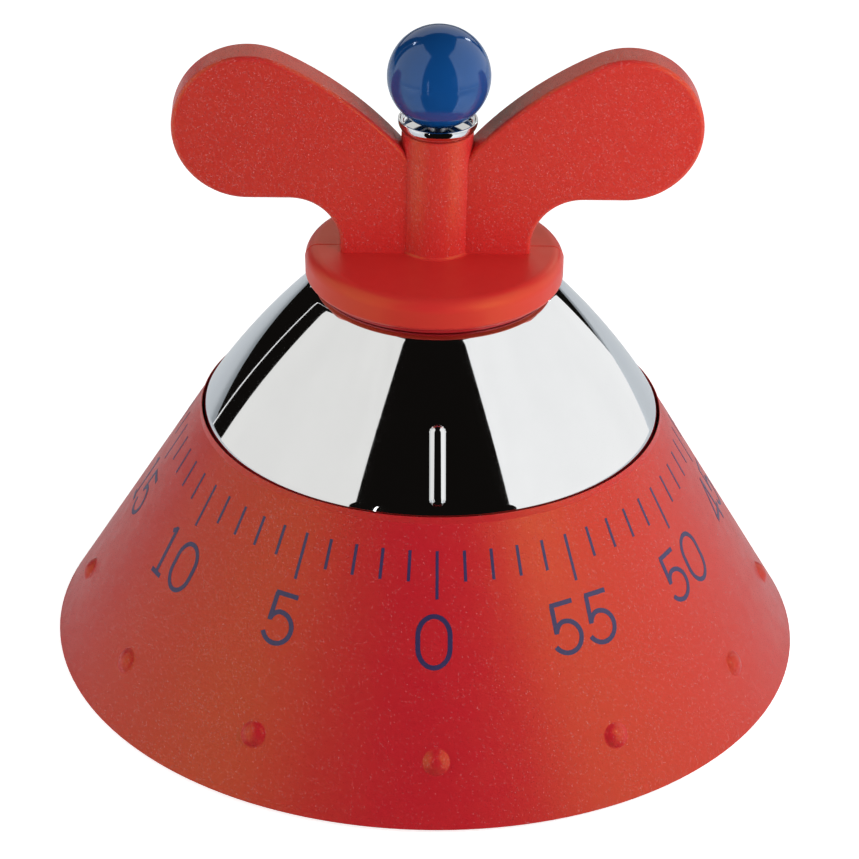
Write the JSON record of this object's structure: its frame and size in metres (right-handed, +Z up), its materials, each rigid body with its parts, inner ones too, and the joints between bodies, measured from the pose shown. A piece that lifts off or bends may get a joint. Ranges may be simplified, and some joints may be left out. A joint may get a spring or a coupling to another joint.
{
  "type": "kitchen timer",
  "caption": "Cone-shaped wind-up kitchen timer: red cone with a printed minute scale, turning chromed dome with a pointer, winged knob with a blue ball, bell movement inside.",
  "frame": {"origin": "on the turning axis, at the table under the feet", "axes": "+Z up the turning axis, -Y towards the scale's 0 and the pointer, +X along the right-hand wing seen from the front"},
  "size_m": [0.11, 0.11, 0.0956],
  "materials": {
    "red_plastic": "satin moulded plastic with a fine grain",
    "red_gloss": "smooth moulded plastic",
    "chrome": "bright chrome plating",
    "blue_gloss": "polished plastic",
    "blue_ink": "printed scale ink",
    "black_plastic": "fine-grained moulded plastic",
    "black_rubber": "matt rubber",
    "brass_sheet": "stamped and brushed",
    "brass_turned": "turned",
    "steel": "turned and zinc-plated",
    "spring_steel": "blued spring steel",
    "bell_metal": "nickel-plated steel"
  },
  "bodies": {
    "case": {"cone_housing": "red_plastic", "base_plate": "black_plastic", "base_screws": "steel", "rubber_feet": "black_rubber", "movement_bottom_plate": "brass_sheet", "movement_top_plate": "brass_sheet", "movement_pillars": "steel", "pillar_nuts": "steel", "mount_screws": "steel", "upper_bush": "brass_turned", "lower_bush": "brass_turned", "spring_barrel": "brass_sheet", "barrel_cover": "brass_turned", "mainspring": "spring_steel", "bell_post": "steel", "bell": "bell_metal", "bell_screw": "steel", "hammer_spring": "spring_steel"},
    "winder": {"dome": "chrome", "collar_ring": "red_gloss", "knob": "red_plastic", "ball": "blue_gloss", "ball_ring": "chrome", "ball_stud": "steel", "dome_carrier": "black_plastic", "carrier_screws": "steel", "main_arbor": "steel", "great_wheel": "brass_sheet", "clutch_spring": "spring_steel", "clutch_collar": "brass_turned", "alarm_cam": "steel"},
    "second_shaft": {"second_arbor": "steel", "second_wheel": "brass_sheet"},
    "third_shaft": {"third_arbor": "steel", "third_wheel": "brass_sheet"},
    "escape_shaft": {"escape_arbor": "steel", "escape_wheel": "brass_sheet"},
    "pallet": {"pallet_arbor": "steel", "pallet_lever": "steel"},
    "hammer": {"hammer_arbor": "steel", "hammer_lever": "steel", "hammer_tail": "steel", "hammer_head": "brass_turned"}
  },
  "joints": [
    {"name": "knob_turn", "type": "hinge", "parent": "case", "child": "winder", "pos_m": [0, 0, 0.03], "axis": [0, 0, 1], "range_deg": [-354, 0]},
    {"name": "second_spin", "type": "hinge", "parent": "case", "child": "second_shaft", "pos_m": [0.00906, 0.01294, 0.022], "axis": [0, 0, 1], "continuous": true},
    {"name": "third_spin", "type": "hinge", "parent": "case", "child": "third_shaft", "pos_m": [-0.00179, 0.0159, 0.022], "axis": [0, 0, 1], "continuous": true},
    {"name": "escape_spin", "type": "hinge", "parent": "case", "child": "escape_shaft", "pos_m": [-0.01164, 0.01565, 0.022], "axis": [0, 0, 1], "continuous": true},
    {"name": "pallet_rock", "type": "hinge", "parent": "case", "child": "pallet", "pos_m": [-0.01777, 0.0127, 0.022], "axis": [0, 0, 1], "range_deg": [-4, 4]},
    {"name": "hammer_swing", "type": "hinge", "parent": "case", "child": "hammer", "pos_m": [-0.0127, -0.00889, 0.022], "axis": [0, 0, 1], "range_deg": [-8, 0], "stiffness_Nm_per_rad": 0.002}
  ],
  "couplings": [
    {"joint": "second_spin", "follows": "knob_turn", "ratio": -6},
    {"joint": "third_spin", "follows": "knob_turn", "ratio": 36},
    {"joint": "escape_spin", "follows": "knob_turn", "ratio": -216}
  ]
}
